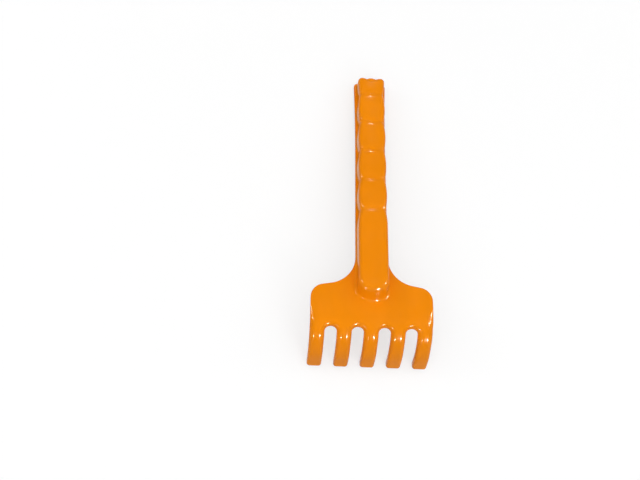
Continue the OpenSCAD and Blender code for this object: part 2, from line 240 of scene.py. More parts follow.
@dataclass
class Piece:
    """One named piece of the moulding and the frame's node that it stands for."""

    node: str
    stance: Stance
    smooth_angle: float = math.radians(38)
    tight_radius: float = 0.6 * MM
    shown: bpy.types.Object | None = None

    def build(self) -> None:
        """Builds the piece's mesh and places it."""
        raise NotImplementedError

    def place(self, bm: BMesh) -> None:
        """Sets a finished mesh down in the frame as an object that stands for the node.

        Args:
            bm: mesh in the moulding's own plan, freed here.
        """
        bmesh.ops.dissolve_degenerate(bm, edges=bm.edges[:], dist=MERGE)
        bmesh.ops.transform(bm, matrix=self.stance.matrix, verts=bm.verts[:])
        mark_edges(bm, self.tight_radius, self.smooth_angle)
        for face in bm.faces:
            face.smooth = True
        mesh = bpy.data.meshes.new(f"{self.node}_skin")
        bm.to_mesh(mesh)
        bm.free()
        mesh.set_sharp_from_angle(angle=self.smooth_angle)
        self.shown = bpy.data.objects.new(f"{self.node}_skin", mesh)
        bpy.context.scene.collection.objects.link(self.shown)
        self.shown.modifiers.new("Even normals", "WEIGHTED_NORMAL").keep_sharp = True
        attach(self.shown, BODY)
        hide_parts(self.node)
        LOG.info("%s: %d faces", self.shown.name, len(mesh.polygons))

    def dress(self, cavity: bpy.types.Material, core: bpy.types.Material) -> None:
        """Gives the piece the finish of the mould's polished half and that of its plain half."""
        self.shown.data.materials.append(cavity)
        self.shown.data.materials.append(core)


@dataclass(frozen=True)
class HandleForm:
    """Sizes and curves that the grip, the shank, the ribs and the rim share."""

    length: float = 204.7 * MM
    height: float = 15.8 * MM
    plate: float = 2.4 * MM
    shank_width: float = 23.2 * MM
    heel_width: float = 22.2 * MM
    wall: float = 2.2 * MM
    draft: float = 0.4 * MM
    top_edge: float = 3.0 * MM
    foot: float = 0.5 * MM
    top_crown: float = 0.5 * MM
    nose_front: float = 13.2 * MM
    nose_run: float = 9.5 * MM
    nose_power: float = 2.3
    nose_lean: float = 3.5 * MM
    nose_foot: float = 2.2 * MM
    wave: float = 26 * MM
    waves: int = 4
    wave_side: float = 1.1 * MM
    wave_top: float = 0.6 * MM
    valley_share: float = 0.12
    groove_power: float = 5.0
    heel_run: float = 16.5 * MM
    lobes: int = 3
    lobe_depth: float = 0.9 * MM
    heel_corner: float = 3.6 * MM
    inner_corner_share: float = 0.3
    end_lip: float = 1.2 * MM
    neck_ledge: float = 0.7 * MM
    waist_ledge: float = 0.7 * MM
    heel_ledge: float = 1.9 * MM
    rim_corner: float = 3.0 * MM
    neck_y: float = 47.905 * MM

    @property
    def heel_y(self) -> float:
        """End of the raised handle."""
        return self.length - self.end_lip

    @property
    def last_valley(self) -> float:
        """Valley nearest the end."""
        return self.heel_y - self.heel_run

    @property
    def first_valley(self) -> float:
        """Valley nearest the head."""
        return self.last_valley - self.waves * self.wave

    @property
    def grip_y(self) -> float:
        """Crest of the first half wave, where the shank ends."""
        return self.first_valley - self.wave / 2

    @property
    def nose_mid(self) -> float:
        """Place where the side walls turn into the nose, at their foot."""
        return self.nose_front + self.nose_run

    @property
    def rise(self) -> float:
        """Height of the walls above the rim, up to the edge of the top."""
        return self.height - self.plate - self.top_crown

    @property
    def inner_edge(self) -> float:
        """Radius inside the top edge."""
        return max(self.top_edge - self.wall, self.inner_corner_share * self.wall)

    def arches(self, share: float) -> float:
        """Row of arches: 1 on each crest and 0 in each rounded valley, at whole numbers."""
        dip = self.valley_share
        return (math.hypot(math.sin(math.pi * share), dip) - dip) / (math.hypot(1, dip) - dip)

    def swell(self, y: float) -> float:
        """Swell of the grip, from 0 in a valley to 1 on a wave and along the shank."""
        return 1.0 if y < self.grip_y else self.arches((y - self.first_valley) / self.wave)

    def plain_half(self, y: float) -> float:
        """Half-width over the crests of the waves."""
        share = min(max((y - self.grip_y) / (self.heel_y - self.grip_y), 0), 1)
        return mix(self.shank_width, self.heel_width, share) / 2

    def half_width(self, y: float) -> float:
        """Half-width of the wall's foot."""
        return self.plain_half(y) - self.wave_side * (1 - self.swell(y))

    def rise_at(self, y: float) -> float:
        """Height of the wall above the rim."""
        return self.rise - self.wave_top * (1 - self.swell(y)) ** self.groove_power

    def nose_spot(self, turn: float, inset: float, lean: float) -> Vector:
        """Place on the right half of the nose's outline, a squarish oval.

        Args:
            turn: angle from the side wall, 0, to the middle of the front, a quarter turn.
            inset: distance inside the foot of the wall.
            lean: height there, as a share of the rise.

        Returns:
            The place in the plan, without its height.
        """
        power = 2 / self.nose_power
        across = (self.shank_width / 2 - inset) * max(math.cos(turn), 0) ** power
        ahead = (self.nose_run - inset) * math.sin(turn) ** power
        return Vector((across, self.nose_mid + self.nose_lean * lean - ahead))

    def foot_at(self, y: float) -> float:
        """Radius of the hollow rounding at the wall's foot, widest round the nose."""
        share = (y - self.nose_mid) / (self.neck_y - self.nose_mid)
        return mix(self.nose_foot, self.foot, ease(share))

    def rim_half(self, y: float) -> float:
        """Half-width of the rim."""
        return self.plain_half(y) + self.ledge(y)

    def ledge(self, y: float) -> float:
        """Width of the rim outside the wall, widest at the end of the handle."""
        waist = (self.grip_y + self.heel_y) / 2
        end, width = (self.heel_y, self.heel_ledge) if y > waist else (self.neck_y, self.neck_ledge)
        return mix(self.waist_ledge, width, ((y - waist) / (end - waist)) ** 2)


@dataclass(frozen=True)
class Level:
    """One level of a wall, from its foot to its top edge.

    The inset is fixed, less a share of the foot's rounding. The height is fixed, plus a share of
    the foot's rounding and a share of the rise.
    """

    inset: float
    height: float
    flare: float = 0.0
    foot_share: float = 0.0
    rise_share: float = 0.0


@dataclass
class Shell(Piece):
    """Hollow raised part of the handle: walls on the rim, rounded into a crowned top."""

    form: HandleForm = HandleForm()
    foot_rows: int = 7
    wall_rows: int = 6
    edge_rows: int = 10
    crown_rows: int = 10
    crown_end: float = 2.0 * MM

    @property
    def columns(self) -> int:
        """Steps along half of the outline."""
        raise NotImplementedError

    def spot(self, column: int, inset: float, lean: float) -> Vector:
        """Place on half of the drawn-in outline, from the joint to the middle of the closed end.

        Args:
            column: step along the half outline.
            inset: distance inside the foot of the wall.
            lean: height there, as a share of the rise.

        Returns:
            The place in the plan, without its height.
        """
        raise NotImplementedError

    def spine_y(self, y: float) -> float:
        """Place on the middle line of the top that a place on the outline faces."""
        raise NotImplementedError

    def edge_turns(self) -> list[float]:
        """Divides the turn round the top edge, up to the slope at which the crown takes over.

        Returns:
            The angles, without that of the wall itself.
        """
        half_top = self.form.shank_width / 2 - self.form.draft - self.form.top_edge
        slope = math.atan(2 * self.form.top_crown / half_top)
        return steps(0, QUARTER - slope, self.edge_rows)[1:]

    def outer_levels(self) -> list[Level]:
        """Divides the outer face, from the hollow rounding at its foot to the top edge.

        Returns:
            Its levels from the bottom up.
        """
        form = self.form
        turns = steps(0, QUARTER, self.foot_rows)
        levels = [Level(0, 0, 1 - math.sin(a), 1 - math.cos(a)) for a in turns]
        for share in steps(0, 1, self.wall_rows)[1:]:
            levels.append(Level(form.draft * share, -form.top_edge * share, 0, 1 - share, share))
        for turn in self.edge_turns():
            inset = form.draft + form.top_edge * (1 - math.cos(turn))
            levels.append(Level(inset, -form.top_edge * (1 - math.sin(turn)), rise_share=1))
        return levels

    def inner_levels(self) -> list[Level]:
        """Divides the hollow's face, from its mouth to the inside of the top edge.

        Returns:
            Its levels from the bottom up.
        """
        form = self.form
        below = form.wall + form.inner_edge
        levels = [Level(form.wall + form.draft * share, -below * share, rise_share=share)
                  for share in steps(0, 1, self.foot_rows + self.wall_rows)]
        for turn in self.edge_turns():
            inset = form.wall + form.draft + form.inner_edge * (1 - math.cos(turn))
            height = -form.wall - form.inner_edge * (1 - math.sin(turn))
            levels.append(Level(inset, height, rise_share=1))
        return levels

    def level_row(self, level: Level) -> list[Vector]:
        """Follows one level along half of the outline.

        Args:
            level: level of the outer or the inner face.

        Returns:
            A place for each column, at the height of the wall there.
        """
        form = self.form
        row = []
        for column in range(self.columns + 1):
            foot = form.foot_at(self.spot(column, 0, 0).y)
            raised = level.height + level.foot_share * foot
            lean = raised / form.rise + level.rise_share
            spot = self.spot(column, level.inset - level.flare * foot, lean)
            height = raised + level.rise_share * form.rise_at(spot.y)
            row.append(Vector((spot.x, spot.y, form.plate + height)))
        return row

    def crown_over(self, edge: list[Vector], drop: float) -> Net:
        """Rows from the top edge to the middle line, raised in a gentle crown.

        Args:
            edge: places along the inner end of the top edge.
            drop: depth of that end below the rise.

        Returns:
            The rows after the edge itself.
        """
        form = self.form
        rows = []
        for share in steps(0, 1, self.crown_rows)[1:]:
            lift = form.top_crown * (1 - (1 - share) ** 2)
            row = []
            for spot in edge:
                x = mix(spot.x, 0, share)
                y = mix(spot.y, self.spine_y(spot.y), share)
                row.append(Vector((x, y, form.plate + form.rise_at(y) - drop + lift)))
            rows.append(row)
        return rows

    def build(self) -> None:
        """Lays the outer and the inner face, joins them round their edge and places the shell."""
        bm = bmesh.new()
        skins = ((Skin.CAVITY, self.outer_levels()), (Skin.CORE, self.inner_levels()))
        for skin, levels in skins:
            rows = [self.level_row(level) for level in levels]
            lay_skin(bm, skin, [rows + self.crown_over(rows[-1], -levels[-1].height)])
        mirror_half(bm)
        close_shell(bm)
        self.place(bm)


@dataclass
class Grip(Shell):
    """Finger grip: four waves and a closed end of three lobes."""

    wave_steps: int = 30
    corner_steps: int = 8
    lobe_steps: int = 24
    valley_pull: float = 0.55

    @property
    def wave_columns(self) -> int:
        """Steps along the waves, the half wave beside the shank included."""
        return int(self.wave_steps * (self.form.waves + 0.5))

    @property
    def side_columns(self) -> int:
        """Steps along the waves and the last run to the end's corner."""
        return self.wave_columns + self.wave_steps // 2

    @property
    def columns(self) -> int:
        """Steps along half of the outline."""
        return self.side_columns + self.corner_steps + self.lobe_steps

    def corner_radius(self, inset: float) -> float:
        """Corner radius of the outline at an inset."""
        return max(self.form.heel_corner - inset, self.form.inner_corner_share * self.form.wall)

    def side_y(self, column: int, end: float) -> float:
        """Place along the side, where columns lie closer together in the valleys.

        Args:
            column: step along the half outline.
            end: place that the last step along the side reaches.

        Returns:
            The place along the handle.
        """
        if column > self.wave_columns:
            share = (column - self.wave_columns) / (self.side_columns - self.wave_columns)
            return mix(self.form.last_valley, end, share)
        turn = column / self.wave_steps - 0.5
        turn -= self.valley_pull * math.sin(2 * math.pi * turn) / (2 * math.pi)
        return self.form.first_valley + turn * self.form.wave

    def spot(self, column: int, inset: float, lean: float) -> Vector:
        """Place on half of the drawn-in outline, from the shank to the middle of the end.

        Args:
            column: step along the half outline.
            inset: distance inside the foot of the wall.
            lean: height there, which the upright walls of the grip don't follow.

        Returns:
            The place in the plan, without its height.
        """
        form = self.form
        radius = self.corner_radius(inset)
        start = form.heel_y - inset - radius
        if column <= self.side_columns:
            y = self.side_y(column, start)
            return Vector((form.half_width(y) - inset, y))
        corner_x = form.half_width(start) - inset - radius
        past = column - self.side_columns
        if past <= self.corner_steps:
            turn = QUARTER * past / self.corner_steps
            return Vector((corner_x + radius * math.cos(turn), start + radius * math.sin(turn)))
        x = corner_x * (1 - (past - self.corner_steps) / self.lobe_steps)
        bulge = form.arches((x / form.plain_half(form.heel_y) + 1) / 2 * form.lobes)
        return Vector((x, form.heel_y - inset - form.lobe_depth * (1 - bulge)))

    def spine_y(self, y: float) -> float:
        """Place on the middle line that a place on the outline faces, short of the end."""
        form = self.form
        end = form.heel_y - form.lobe_depth
        return min(y, end - form.draft - form.top_edge - self.crown_end)


@dataclass
class Shank(Shell):
    """Plain part of the handle, which ends on the head in a rounded, leaning nose."""

    side_steps: int = 24
    nose_steps: int = 40
    crown_end: float = 7.0 * MM

    @property
    def columns(self) -> int:
        """Steps along half of the outline."""
        return self.side_steps + self.nose_steps

    def spot(self, column: int, inset: float, lean: float) -> Vector:
        """Place on half of the drawn-in outline, from the grip to the middle of the leaning nose.

        Args:
            column: step along the half outline.
            inset: distance inside the foot of the wall.
            lean: height there, as a share of the rise.

        Returns:
            The place in the plan, without its height.
        """
        turn = QUARTER * (column - self.side_steps) / self.nose_steps
        nose = self.form.nose_spot(max(0, turn), inset, lean)
        if column < self.side_steps:
            nose.y = mix(self.form.grip_y, nose.y, column / self.side_steps)
        return nose

    def spine_y(self, y: float) -> float:
        """Place on the middle line that a place on the outline faces, short of the nose."""
        form = self.form
        front = form.nose_front + form.nose_lean
        return max(y, front + form.draft + form.top_edge + self.crown_end)


@dataclass(frozen=True)
class Roll:
    """Rounding along a free edge: its width across the face and its drop at the edge itself."""

    width: float
    drop: float

    def gap(self, turn: float) -> float:
        """Distance from the edge at an angle, which goes from 0 at the edge to a quarter turn."""
        return self.width * (1 - math.cos(turn))

    def fall(self, turn: float) -> float:
        """Depth below the face at that angle."""
        return self.drop * (1 - math.sin(turn))


@dataclass(frozen=True)
class Lane:
    """Line across a flat face: from a free edge straight in, then on to the place that it faces."""

    edge: Vector
    inward: Vector
    facing: Vector
    roll: Roll
    hold: float

    def at(self, gap: float) -> Vector:
        """Place at a distance from the edge, straight in as far as the hold."""
        straight = self.edge + self.inward * min(gap, self.hold)
        return straight + (self.facing - straight).normalized() * max(0, gap - self.hold)

    def flat(self, share: float) -> Vector:
        """Place at a share of the way from the rounding to the place that it faces."""
        return self.at(self.roll.width).lerp(self.facing, share)


@dataclass
class Slab(Piece):
    """Flat part of the moulding, a net between an outline and the mouth of the hollow."""

    form: HandleForm = HandleForm()
    edge: float = 0.5 * MM
    edge_segments: int = 4
    mouth_edge: float = 0.25 * MM
    mouth_segments: int = 2
    roll_steps: int = 8

    def rings(self) -> tuple[list[Vector], list[Vector]]:
        """Free part of half of the outline, and half of the mouth."""
        raise NotImplementedError

    def roll(self, y: float) -> Roll:
        """Rounding of the outline's upper edge."""
        return Roll(self.edge, self.edge)

    def lanes(self) -> list[Lane]:
        """Pairs the free outline with the mouth.

        Returns:
            A lane from each place on the outline to its place on the mouth.
        """
        outline, mouth = self.rings()
        lanes = []
        for i, edge in enumerate(outline):
            run = outline[min(i + 1, len(outline) - 1)] - outline[max(i - 1, 0)]
            if i == 0 or i == len(outline) - 1:
                run = Vector((0, run.y, 0)) if abs(run.y) > abs(run.x) else Vector((run.x, 0, 0))
            inward = Vector((run.y, -run.x, 0)).normalized()
            if inward.dot(mouth[i] - edge) < 0:
                inward.negate()
            roll = self.roll(edge.y)
            lanes.append(Lane(edge, inward, mouth[i], roll, roll.width))
        return lanes

    def front(self, corner: Vector) -> Net:
        """Further rows of the net, beyond the free outline, from its last inner corner."""
        return []

    def build(self) -> None:
        """Lays the upper face, draws it down, rounds the lower edges and places the slab."""
        bm = bmesh.new()
        tag = bm.verts.layers.int.new("ring")
        lanes = self.lanes()
        lift = Vector((0, 0, self.form.plate))
        net = [[lane.at(lane.roll.gap(turn)) + lift - Vector((0, 0, lane.roll.fall(turn)))
                for lane in lanes] for turn in steps(0, QUARTER, self.roll_steps)]
        net.append([lane.facing + lift for lane in lanes])
        verts = lay_net(bm, net)
        for vert in verts[:len(lanes)]:
            vert[tag] = Ring.OUTLINE.value
        mouth = verts[-len(lanes):]
        front = self.front(lanes[-1].at(lanes[-1].roll.width))
        if front:
            verts = lay_net(bm, [[spot + lift for spot in row] for row in front])
            mouth += verts[-len(front[0]):]
        for vert in mouth:
            vert[tag] = Ring.MOUTH.value
        mirror_half(bm)
        under = draw_out(bm)
        for vert in under:
            vert.co.z = 0
        point_outwards(bm)

        def along(ring: Ring) -> list[BMEdge]:
            """Edges of the underside that run along one ring."""
            low = {vert for vert in under if vert[tag] == ring.value}
            return [edge for edge in bm.edges if low.issuperset(edge.verts)]

        lower = ((along(Ring.OUTLINE), self.edge, self.edge_segments),
                 (along(Ring.MOUTH), self.mouth_edge, self.mouth_segments))
        for edges, radius, segments in lower:
            round_edges(bm, edges, radius, segments)
        bm.normal_update()
        for face in bm.faces:
            if face.normal.z < -math.sin(self.smooth_angle):
                face.material_index = Skin.CORE.value
        self.place(bm)


@dataclass
class HandleRim(Slab):
    """Flat rim round the mouth of the handle's hollow."""

    grip: Grip | None = None
    shank_steps: int = 12

    def rings(self) -> tuple[list[Vector], list[Vector]]:
        """Follows the rim from the neck to the middle of the end.

        Returns:
            Half of its outline, and half of the hollow's mouth beside it.
        """
        form, grip = self.form, self.grip
        corner_y = form.length - form.rim_corner
        outline, mouth = [], []
        for y in steps(form.neck_y, form.grip_y, self.shank_steps)[:-1]:
            outline.append(Vector((form.rim_half(y), y, 0)))
            mouth.append(Vector((form.shank_width / 2 - form.wall, y, 0)))
        corner_x = form.rim_half(corner_y) - form.rim_corner
        for column in range(grip.columns + 1):
            mouth.append(grip.spot(column, form.wall, 0).to_3d())
            past = column - grip.side_columns
            if past <= 0:
                y = grip.side_y(column, corner_y)
                outline.append(Vector((form.rim_half(y), y, 0)))
            elif past <= grip.corner_steps:
                turn = QUARTER * past / grip.corner_steps
                outline.append(Vector((corner_x + form.rim_corner * math.cos(turn),
                                       corner_y + form.rim_corner * math.sin(turn), 0)))
            else:
                share = (past - grip.corner_steps) / grip.lobe_steps
                outline.append(Vector((corner_x * (1 - share), form.length, 0)))
        return outline, mouth


@dataclass(frozen=True)
class HeadForm:
    """Sizes and curves that the head plate and the tines share."""

    width: float = 91.5 * MM
    plate: float = 2.4 * MM
    shoulder_y: float = 23.5 * MM
    shoulder_rise: float = 6.0 * MM
    shoulder_corner: float = 10.5 * MM
    neck_corner: float = 22.0 * MM
    tines: int = len(TINES)
    tine_width: float = 11.2 * MM
    tip_width: float = 11.0 * MM
    tine_depth: float = 5.2 * MM
    roll: float = 4.4 * MM
    tip_roll: float = 2.1 * MM
    side_roll: float = 5.5 * MM
    side_drop: float = 1.8 * MM
    side_fade: float = 9.0 * MM
    bend: float = 23.5 * MM
    bend_angle: float = math.radians(50)
    sweep: float = 42.0 * MM
    sweep_angle: float = math.radians(24)
    straight_run: float = 10.7 * MM
    slot_start: float = 7.5 * MM
    tip_corner: float = 2.3 * MM

    @property
    def pitch(self) -> float:
        """Distance from tine to tine."""
        return (self.width - self.tine_width) / (self.tines - 1)

    @property
    def slot_radius(self) -> float:
        """Radius of a slot's round top."""
        return (self.pitch - self.tine_width) / 2

    @property
    def slot_mid(self) -> float:
        """Centre of a slot's round top, along the tine."""
        return self.slot_start + self.slot_radius

    @property
    def root_turn(self) -> float:
        """Angle round a slot's top that points at the corner of the tine's root."""
        return math.atan2(self.slot_mid, self.pitch / 2)

    @property
    def bend_run(self) -> float:
        """End of the bend, along its face."""
        return self.bend * self.bend_angle

    @property
    def sweep_run(self) -> float:
        """End of the gentler curve below the bend, along its face."""
        return self.bend_run + self.sweep * self.sweep_angle

    @property
    def run(self) -> float:
        """Length of a tine along its face, both curves included."""
        return self.sweep_run + self.straight_run

    @property
    def hub(self) -> float:
        """Place on the middle line that the round of the tip faces, along the tine."""
        return self.run - self.tip_width / 2

    def shaft_half(self, s: float) -> float:
        """Half-width of a tine below its slots."""
        share = (s - self.slot_mid) / (self.run - self.slot_mid)
        return mix(self.tine_width, self.tip_width, min(max(share, 0), 1)) / 2

    def bent(self, x: float, s: float, depth: float) -> Vector:
        """Bends a place of the flat-drawn head round the two curves.

        Args:
            x: place across the head.
            s: place along the bent face.
            depth: depth below that face.

        Returns:
            The place in the moulding's own plan.
        """
        first = self.bend_angle * min(s / self.bend_run, 1)
        swept = min(max(0, s - self.bend_run), self.sweep_run - self.bend_run)
        turn = first + swept / self.sweep
        past = max(0, s - self.sweep_run)
        ahead = (self.bend * math.sin(first) + self.sweep * (math.sin(turn) - math.sin(first))
                 + past * math.cos(turn))
        down = (self.bend * (1 - math.cos(first)) + self.sweep * (math.cos(first) - math.cos(turn))
                + past * math.sin(turn))
        return Vector((x, depth * math.sin(turn) - ahead,
                       self.plate - depth * math.cos(turn) - down))


def corner_arc(before: Vector, at: Vector, after: Vector, radius: float,
               count: int) -> list[Vector]:
    """Arc that rounds the corner of an outline.

    Args:
        before: point of the outline before the corner.
        at: the corner.
        after: point of the outline after it.
        radius: radius of the arc.
        count: steps along the arc.

    Returns:
        Points from one end of the arc to the other.
    """
    back, ahead = (before - at).normalized(), (after - at).normalized()
    half = back.angle(ahead) / 2
    middle = at + (back + ahead).normalized() * radius / math.sin(half)
    start = at + back * radius / math.tan(half) - middle
    swing = math.copysign(math.pi - 2 * half, -back.cross(ahead).z)
    return [middle + Matrix.Rotation(turn, 3, "Z") @ start for turn in steps(0, swing, count)]


@dataclass
class HeadPlate(Slab):
    """Flat shoulders of the head, with the hollow neck curves, round the nose of the handle."""

    head: HeadForm = HeadForm()
    arc_steps: int = 24
    side_steps: int = 8
    front_steps: int = 30
    neck_share: float = 0.76
    side_turn: float = math.radians(27)

    def roll(self, y: float) -> Roll:
        """Rounding of the upper edge, which widens towards the bend."""
        head, share = self.head, ease(1 - y / self.head.side_fade)
        return Roll(mix(self.edge, head.side_roll, share), mix(self.edge, head.side_drop, share))

    def nose_mouth(self, turn: float) -> Vector:
        """Place on the hollow's mouth inside the nose."""
        return self.form.nose_spot(turn, self.form.wall, 0).to_3d()

    def rings(self) -> tuple[list[Vector], list[Vector]]:
        """Follows the head from the neck over the shoulder to the bend.

        Returns:
            Half of its free outline, and the mouth beside it.
        """
        form, head = self.form, self.head
        neck_half = form.shank_width / 2 + form.neck_ledge
        neck = Vector((neck_half, head.shoulder_y + head.shoulder_rise, 0))
        shoulder = Vector((head.width / 2, head.shoulder_y, 0))
        above = Vector((neck_half, form.length, 0))
        below = Vector((head.width / 2, 0, 0))
        outline = corner_arc(above, neck, shoulder, head.neck_corner, self.arc_steps)
        outline += corner_arc(neck, shoulder, below, head.shoulder_corner, self.arc_steps)
        outline += [outline[-1].lerp(below, share) for share in steps(0, 1, self.side_steps)[1:]]

        turn_y = mix(outline[0].y, form.nose_mid, self.neck_share)
        sides = steps(outline[0].y, turn_y, self.arc_steps)
        sides += steps(turn_y, form.nose_mid, self.arc_steps + 1)[1:]
        mouth = [Vector((form.shank_width / 2 - form.wall, y, 0)) for y in sides]
        mouth += [self.nose_mouth(turn) for turn in steps(0, self.side_turn, self.side_steps)[1:]]
        return outline, mouth

    def front(self, corner: Vector) -> Net:
        """Rows of the net in front of the nose.

        Args:
            corner: inner end of the last lane, on the line of the bend.

        Returns:
            The line of the bend from there to the middle, and the mouth inside the nose.
        """
        bend = [corner.lerp(Vector(), share) for share in steps(0, 1, self.front_steps)]
        turns = steps(self.side_turn, QUARTER, self.front_steps)
        return [bend, [self.nose_mouth(turn) for turn in turns]]


@dataclass
class Tine(Piece):
    """One rounded tine with its share of the bend, hollow behind like a gutter."""

    head: HeadForm = HeadForm()
    index: int = 0
    edge: float = 0.5 * MM
    rim: float = 2.2 * MM
    gutter_corner: float = 1.6 * MM
    rim_edge: float = 0.3 * MM
    lip_share: float = 0.25
    arc_steps: int = 14
    shaft_steps: int = 32
    tip_steps: int = 4
    corner_steps: int = 9
    end_steps: int = 8
    roll_steps: int = 13
    flat_steps: int = 4
    edge_steps: int = 4
    rim_steps: int = 3

    @property
    def middle_x(self) -> float:
        """Place of the tine's middle line across the head."""
        return (self.index - (self.head.tines - 1) / 2) * self.head.pitch

    def slotted(self, side: Side) -> bool:
        """Whether a slot lies on that side, and not the head's free edge."""
        return 0 <= self.index + side.value < self.head.tines

    def slot_turns(self) -> list[float]:
        """Angles round a slot's top, from its highest point, with one on the root's corner."""
        corner = self.head.root_turn
        return steps(QUARTER, corner, self.arc_steps)[:-1] + steps(corner, 0, self.arc_steps)

    def roll(self, s: float, side: Side) -> Roll:
        """Rounding of the front's edge: narrow at the tip, shallow where a free side starts.

        Args:
            s: place along the face.
            side: side of the tine.

        Returns:
            The rounding there.
        """
        head = self.head
        if not self.slotted(side) and s < head.slot_start:
            share = ease(s / head.slot_start)
            width = mix(head.side_roll, head.roll, share)
            return Roll(width, mix(head.side_drop, head.roll, share))
        share = ease((s - head.bend_run) / (head.hub - head.bend_run))
        width = mix(head.roll, head.tip_roll, share)
        return Roll(width, width)

    def skirt(self, lane: Lane, side: Side) -> float:
        """Depth of the rim behind the edge, level with the plate where a free side starts."""
        share = 1 if self.slotted(side) else ease(lane.edge.y / self.head.slot_start)
        return mix(self.head.plate, self.head.tine_depth, share)

    def root_lanes(self, side: Side) -> list[Lane]:
        """Follows the root down the slot's round top, or down the head's free side.

        Args:
            side: side of the tine.

        Returns:
            Lanes from the edge to the root's line or the middle line.
        """
        head = self.head
        across, along = head.pitch / 2, head.slot_mid
        centre = Vector((across, along, 0))
        roll = self.roll(head.slot_start, side)
        lanes = []
        for turn in self.slot_turns():
            past_root = turn <= head.root_turn + NEAR_TURN
            if self.slotted(side):
                out = Vector((-math.cos(turn), -math.sin(turn), 0))
                reach = across / math.cos(turn) if past_root else along / math.sin(turn)
                edge = centre + out * head.slot_radius
                lanes.append(Lane(edge, out, centre + out * reach, roll, reach))
            elif past_root:
                s = along - across * math.tan(turn)
                lanes.append(self.shaft_lane(s, Vector((0, s, 0)), side))
        return lanes

    def shaft_lane(self, s: float, facing: Vector, side: Side) -> Lane:
        """Lane straight in from the side of the tine."""
        edge = Vector((self.head.shaft_half(s), s, 0))
        return Lane(edge, Vector((-1, 0, 0)), facing, self.roll(s, side), self.head.tip_corner)

    def lanes(self, side: Side) -> list[Lane]:
        """Follows one side, drawn flat: X from the middle line and Y along the face.

        Args:
            side: side of the tine.

        Returns:
            Lanes from the edge to the middle line, and round the tip to its hub.
        """
        head = self.head
        hub, tip = Vector((0, head.hub, 0)), head.run - head.tip_corner
        lanes = self.root_lanes(side)
        for s in steps(head.slot_mid, hub.y, self.shaft_steps)[1:]:
            lanes.append(self.shaft_lane(s, Vector((0, s, 0)), side))
        for s in steps(hub.y, tip, self.tip_steps)[1:]:
            lanes.append(self.shaft_lane(s, hub, side))
        corner = Vector((head.shaft_half(tip) - head.tip_corner, tip, 0))
        roll = self.roll(tip, side)
        for turn in steps(0, QUARTER, self.corner_steps)[1:]:
            out = Vector((math.cos(turn), math.sin(turn), 0))
            lanes.append(Lane(corner + out * head.tip_corner, -out, hub, roll, head.tip_corner))
        for share in steps(0, 1, self.end_steps)[1:]:
            end = Vector((corner.x * (1 - share), head.run, 0))
            lanes.append(Lane(end, Vector((0, -1, 0)), hub, roll, head.tip_corner))
        return lanes

    def front_net(self, side: Side) -> Net:
        """Covers the front of one side, from the rounded edge to the middle line.

        Args:
            side: side of the tine.

        Returns:
            The net, with a column for each lane.
        """
        lanes = self.lanes(side)
        net = [[self.bent(lane.at(lane.roll.gap(turn)), lane.roll.fall(turn), side)
                for lane in lanes] for turn in steps(0, QUARTER, self.roll_steps)]
        for share in steps(0, 1, self.flat_steps)[1:]:
            net.append([self.bent(lane.flat(share), 0, side) for lane in lanes])
        return net

    def back_net(self, side: Side) -> Net:
        """Covers the back of one side: rounded lower edge, rim, wall of the gutter and its floor.

        Args:
            side: side of the tine.

        Returns:
            The net, with a column for each lane.
        """
        floor = self.head.plate
        inner_steps = self.roll_steps - self.edge_steps - self.rim_steps - 1
        columns = []
        for lane in self.lanes(side):
            skirt = self.skirt(lane, side)
            lip = min(self.rim_edge, self.lip_share * (skirt - floor))
            inner = Roll(self.gutter_corner, skirt - floor - lip)
            column = [(self.edge * (1 - math.cos(turn)), skirt - self.edge * (1 - math.sin(turn)))
                      for turn in steps(0, QUARTER, self.edge_steps)]
            column += [(self.rim - lip * (1 - math.sin(turn)), skirt - lip * (1 - math.cos(turn)))
                       for turn in steps(0, QUARTER, self.rim_steps)]
            column += [(self.rim + inner.gap(turn), floor + inner.fall(turn))
                       for turn in steps(0, QUARTER, inner_steps)[1:]]
            places = [self.bent(lane.at(gap), depth, side) for gap, depth in column]
            last = lane.at(column[-1][0])
            places += [self.bent(last.lerp(lane.facing, share), floor, side)
                       for share in steps(0, 1, self.flat_steps)[1:]]
            columns.append(places)
        return [list(row) for row in zip(*columns)]

    def bent(self, spot: Vector, depth: float, side: Side) -> Vector:
        """Place on the bent tine of a place on one of its flat-drawn sides."""
        return self.head.bent(self.middle_x + side.value * spot.x, spot.y, depth)

    def build(self) -> None:
        """Lays the front and the back, joins them round their edge and places the tine."""
        bm = bmesh.new()
        for skin, cover in ((Skin.CAVITY, self.front_net), (Skin.CORE, self.back_net)):
            lay_skin(bm, skin, [cover(side) for side in Side])
        bmesh.ops.remove_doubles(bm, verts=bm.verts[:], dist=MERGE)
        close_shell(bm)
        self.place(bm)


